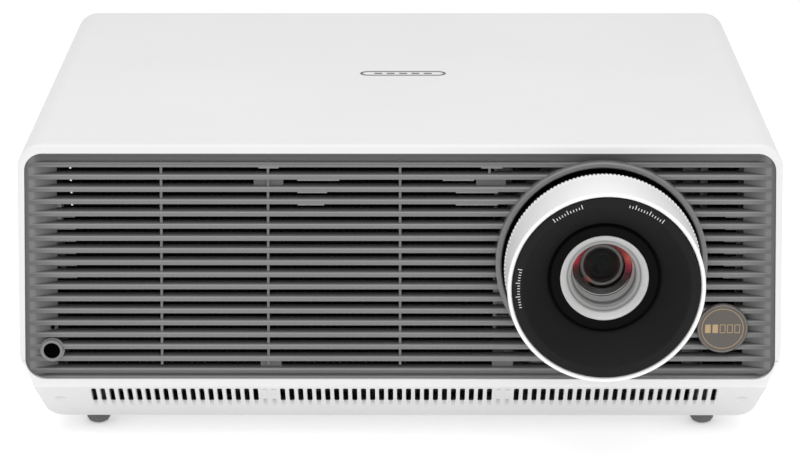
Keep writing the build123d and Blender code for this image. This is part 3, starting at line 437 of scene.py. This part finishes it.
def prism(outline, y_front, y_back, verts, faces):
    """Adds a closed block whose (x, z) outline runs from y_front to y_back."""
    start, count = len(verts), len(outline)
    verts += [(x, y_front, z) for x, z in outline] + [(x, y_back, z) for x, z in outline]
    faces.append(tuple(start + i for i in range(count)))
    faces.append(tuple(start + count + i for i in reversed(range(count))))
    faces += [(start + i, start + (i + 1) % count, start + count + (i + 1) % count, start + count + i)
              for i in range(count)]


def turned_ring(profile, x, z, verts, faces, steps=96):
    """Adds a ring turned about an axis along Y from a closed (radius, y) profile."""
    start, count = len(verts), len(profile)
    for i in range(steps):
        angle = 2 * math.pi * i / steps
        verts += [(x + r * math.cos(angle), y, z + r * math.sin(angle)) for r, y in profile]
    for i in range(steps):
        for j in range(count):
            k, nxt = (j + 1) % count, (i + 1) % steps
            faces.append((start + i * count + j, start + nxt * count + j,
                          start + nxt * count + k, start + i * count + k))


def rounded_box(x, z, wide, tall, radius, steps=4):
    """The (x, z) outline of a box with round corners, centred on x and z."""
    across, up = wide / 2 - radius, tall / 2 - radius
    corners = [(x + across, z + up, 0), (x - across, z + up, 90),
               (x - across, z - up, 180), (x + across, z - up, 270)]
    return [(cx + radius * math.cos(math.radians(start + 90 * i / steps)),
             cz + radius * math.sin(math.radians(start + 90 * i / steps)))
            for cx, cz, start in corners for i in range(steps + 1)]


# ---------------------------------------------------------------- lens pieces
def add_lens_scale():
    """Three plain tick scales printed on the lip of the lens ring."""
    verts, faces = [], []
    inner, half, long_tick, short_tick = 0.0412, 0.00018, 0.0021, 0.0012
    for first, last, count in ((107, 127, 11), (52, 76, 13), (167, 193, 15)):
        for i in range(count):
            angle = math.radians(first + (last - first) * i / (count - 1))
            outer = inner + (long_tick if i % 5 == 0 else short_tick)
            outline = [(LENS_X + r * math.cos(angle) + s * math.sin(angle),
                        LENS_Z + r * math.sin(angle) - s * math.cos(angle))
                       for r, s in ((inner, -half), (outer, -half), (outer, half), (inner, half))]
            prism(outline, LIP_Y - 0.00004, LIP_Y + 0.0001, verts, faces)
    paint = moulded("scale_paint", (0.75, 0.75, 0.75), 0.5, specular=0.3)
    add_piece("lens_scale", verts, faces, paint, "lens")


def add_reflection_stop():
    """Thin ring between the hood and the focus cell, seen through the front glass."""
    y, inner, outer = HOOD_BACK_Y, 0.0112, 0.0211
    profile = [(inner, y + 0.0002), (outer, y + 0.0001), (outer, y + 0.0004), (inner, y + 0.0005)]
    verts, faces = [], []
    turned_ring(profile, LENS_X, LENS_Z, verts, faces, 128)
    add_piece("reflection_stop", verts, faces, reflection_stop("reflection_stop"), "lens")


# ---------------------------------------------------------------- front pieces
def add_badge_inlay():
    """Gold ring and a row of small plain tiles inlaid in the round badge."""
    verts, faces = [], []
    front, back = BADGE_Y - 0.00006, BADGE_Y + 0.0003
    turned_ring([(0.01000, front), (0.01030, front), (0.01030, back), (0.01000, back)],
                BADGE_X, BADGE_Z, verts, faces)
    pitch, wide, tall, line = 0.0036, 0.0027, 0.0044, 0.0003
    up, across = (tall - line) / 2, (wide - line) / 2
    for i, solid in enumerate((True, True, False, False, False)):
        x = BADGE_X + (i - 2) * pitch
        if solid:
            prism(rounded_box(x, BADGE_Z, wide, tall, 0.0005), front, back, verts, faces)
            continue
        for dx, dz, bar_wide, bar_tall in ((0, up, wide, line), (0, -up, wide, line),
                                           (-across, 0, line, tall - 2 * line),
                                           (across, 0, line, tall - 2 * line)):
            bar = rounded_box(x + dx, BADGE_Z + dz, bar_wide, bar_tall, 0.00008, 1)
            prism(bar, front, back, verts, faces)
    gold = moulded("gold_print", (0.46, 0.32, 0.18), 0.45, metallic=0.3)
    add_piece("badge_inlay", verts, faces, gold, "housing")


def add_badge_rim():
    """Raised rim round the badge."""
    verts, faces = [], []
    y = BADGE_Y
    turned_ring([(0.0115, y + 0.0001), (0.0117, y - 0.00012), (0.0119, y - 0.00012), (0.0121, y + 0.0001),
                 (0.0121, y + 0.0004), (0.0115, y + 0.0004)], BADGE_X, BADGE_Z, verts, faces)
    rim = moulded("badge_rim", (0.21, 0.19, 0.165), 0.35, metallic=0.4)
    add_piece("badge_rim", verts, faces, rim, "housing", smooth=True)


def add_clip_pins():
    """Small white clip ends that show at the left of the four upper gaps."""
    verts, faces = [], []
    for row in range(4):
        x, z = -0.1594 + 0.0001 * row, 0.1429 - LOUVRE_PITCH * row
        pin = rounded_box(x, z, 0.0010, 0.0010, 0.0003, 2)
        prism(pin, FRONT_Y + 0.0024, FRONT_Y + 0.0049, verts, faces)
    add_piece("clip_pins", verts, faces, MATERIALS["white_case"], "housing")


def add_dust_filter():
    """Pleated black filter behind the grille, which keeps the gaps dark: it stands in for the shade deep in
    the gaps.
    """
    verts, faces = [], []
    low, high = GRILLE_LOW_Z + 0.005, GRILLE_TOP_Z - 0.003
    front, pleat, deep, thick = GRILLE_BACK_Y + 0.0030, 0.0016, 0.003, 0.0006
    for start, stop in ((-0.164, 0.0456), (0.1498, 0.1642)):      # left and right of the lens
        count = round((stop - start) / pleat)
        for i in range(count):
            x0, x1 = start + pleat * i, start + pleat * (i + 1)
            y0, y1 = (front, front + deep) if i % 2 else (front + deep, front)
            first = len(verts)
            verts += [(x0, y0, low), (x1, y1, low), (x1, y1 + thick, low), (x0, y0 + thick, low),
                      (x0, y0, high), (x1, y1, high), (x1, y1 + thick, high), (x0, y0 + thick, high)]
            faces += [tuple(first + k for k in ring) for ring in
                      ((0, 1, 5, 4), (2, 3, 7, 6), (0, 3, 2, 1), (4, 5, 6, 7))]
            if i == 0:
                faces.append((first, first + 4, first + 7, first + 3))
            if i == count - 1:
                faces.append((first + 1, first + 2, first + 6, first + 5))
        for z in (low, high):
            strip = rounded_box((start + stop) / 2, z, stop - start + 0.001, 0.002, 0.0004, 2)
            prism(strip, front - 0.0004, front - 0.001, verts, faces)
    # painted shade: near-black cloth keeps the gaps behind the grille dark
    gap_shade = moulded("filter_gap_shade", (0.006, 0.006, 0.0065), 0.9, specular=0.02, variation=0.2)
    filter_piece = add_piece("dust_filter", verts, faces, gap_shade, "housing")
    weld = bmesh.new()                   # neighbouring pleats share their edges
    weld.from_mesh(filter_piece.data)
    bmesh.ops.remove_doubles(weld, verts=weld.verts, dist=0.00001)
    weld.to_mesh(filter_piece.data)
    weld.free()


# ---------------------------------------------------------------- rear pieces
def add_port_details():
    """Contact tongues and pins inside the sockets."""
    verts, faces = [], []
    tongues = [(x, 0.0032, 0.0100, 0.0012, 0.0090) for x in (0.048, 0.070)]       # video sockets
    tongues += [(x, 0.0049, 0.0110, 0.0016, 0.0100) for x in (0.092, 0.112)]      # USB sockets
    for x, rise, wide, tall, deep in tongues:
        prism(rounded_box(x, PORT_FLOOR_Z + rise, wide, tall, 0.0002, 1), PANEL_Y - 0.0020, PANEL_Y - deep,
              verts, faces)
    tongue = moulded("port_tongue", (0.02, 0.02, 0.022), 0.4)
    add_piece("port_tongues", verts, faces, tongue, "housing")
    verts, faces = [], []
    network_x, network_pitch, network_count = -0.020, 0.00102, 8
    serial_x, serial_pitch = 0.014, 0.00277
    for i in range(network_count):
        x = network_x + (i - (network_count - 1) / 2) * network_pitch
        contact = rounded_box(x, PORT_FLOOR_Z + 0.0101, 0.0004, 0.0006, 0.0001, 1)
        prism(contact, PANEL_Y - 0.0030, PANEL_Y - 0.0130, verts, faces)
    for row, count in ((0.0076, 5), (0.0050, 4)):
        for i in range(count):
            x = serial_x + (i - (count - 1) / 2) * serial_pitch
            turned_ring([(0.0001, PANEL_Y - 0.0015), (0.0005, PANEL_Y - 0.0018), (0.0005, PANEL_Y - 0.0060),
                         (0.0001, PANEL_Y - 0.0060)], x, PORT_FLOOR_Z + row, verts, faces, 10)
    add_piece("port_contacts", verts, faces, MATERIALS["brass_insert"], "housing")


def add_rear_screws():
    """Pan-head screws with a cross recess round the rear panel."""
    verts, faces = [], []
    spots = [(x, z) for x in (-0.144, 0.144) for z in (0.062, 0.133)] + [(0.0, 0.133), (0.0, 0.047)]
    for x, z in spots:
        y = PANEL_Y
        turned_ring([(0.0012, y + 0.0006), (0.0022, y + 0.0011), (0.0030, y + 0.0007), (0.0032, y + 0.0001),
                     (0.0032, y - 0.0006), (0.0012, y - 0.0006)], x, z, verts, faces, 32)
        for wide, tall in ((0.0018, 0.0005), (0.0005, 0.0018)):
            prism(rounded_box(x, z, wide, tall, 0.0001, 1), y + 0.0005, y - 0.0005, verts, faces)
    add_piece("rear_screws", verts, faces, MATERIALS["steel"], "housing")


# ---------------------------------------------------------------- camera, light, floor
def add_camera():
    """At the product shot's distance and height, looking down at the front."""
    aside, away, above = 0.00216, 1.38186, 0.38257
    down, turned = 17.119, 0.092         # degrees
    data = bpy.data.cameras.new("camera")
    data.sensor_width = 36.0
    data.lens = 134.06
    data.clip_start, data.clip_end = 0.05, 20.0
    camera = bpy.data.objects.new("camera", data)
    camera.location = (aside, FRONT_Y - away, TOP_Z + above)
    camera.rotation_euler = (math.radians(90 - down), 0, math.radians(turned))
    bpy.context.scene.collection.objects.link(camera)
    bpy.context.scene.camera = camera


def add_area(name, location, target, size, power):
    data = bpy.data.lights.new(name, "AREA")
    data.shape = "RECTANGLE"
    data.size, data.size_y = size
    data.energy = power
    lamp = bpy.data.objects.new(name, data)
    lamp.location = location
    lamp.rotation_euler = (Vector(target) - Vector(location)).to_track_quat("-Z", "Y").to_euler()
    bpy.context.scene.collection.objects.link(lamp)


def add_floor():
    half = 6.0
    mesh = bpy.data.meshes.new("floor")
    corners = [(-half, -half, 0), (half, -half, 0), (half, half, 0), (-half, half, 0)]
    mesh.from_pydata(corners, [], [(0, 1, 2, 3)])
    floor = bpy.data.objects.new("floor", mesh)
    bpy.context.scene.collection.objects.link(floor)
    paper = moulded("floor_white", (0.93, 0.93, 0.93), 0.8, grain=300, variation=0.01, specular=0.1)
    shader = paper.node_tree.nodes["Principled BSDF"]
    shader.inputs["Emission Color"].default_value = (1, 1, 1, 1)
    shader.inputs["Emission Strength"].default_value = 0.36
    mesh.materials.append(paper)


def add_world():
    world = bpy.data.worlds.new("studio")
    world.use_nodes = True
    background = world.node_tree.nodes["Background"]
    background.inputs["Color"].default_value = (1, 1, 1, 1)
    background.inputs["Strength"].default_value = 0.66
    bpy.context.scene.world = world


add_lens_scale()
add_reflection_stop()
add_badge_inlay()
add_badge_rim()
add_clip_pins()
add_dust_filter()
add_port_details()
add_rear_screws()
add_camera()
add_world()
add_floor()
add_area("overhead", (0.0, -0.35, 1.3), (0, -0.1, 0.1), (1.8, 1.2), 8.5)
add_area("front_left", (-1.3, -1.6, 1.0), (0, 0, 0.08), (1.0, 0.8), 1.4)
add_area("front_right", (1.3, -1.6, 0.8), (0, 0, 0.08), (1.0, 0.8), 1.8)
bpy.context.scene.view_settings.view_transform = "Standard"
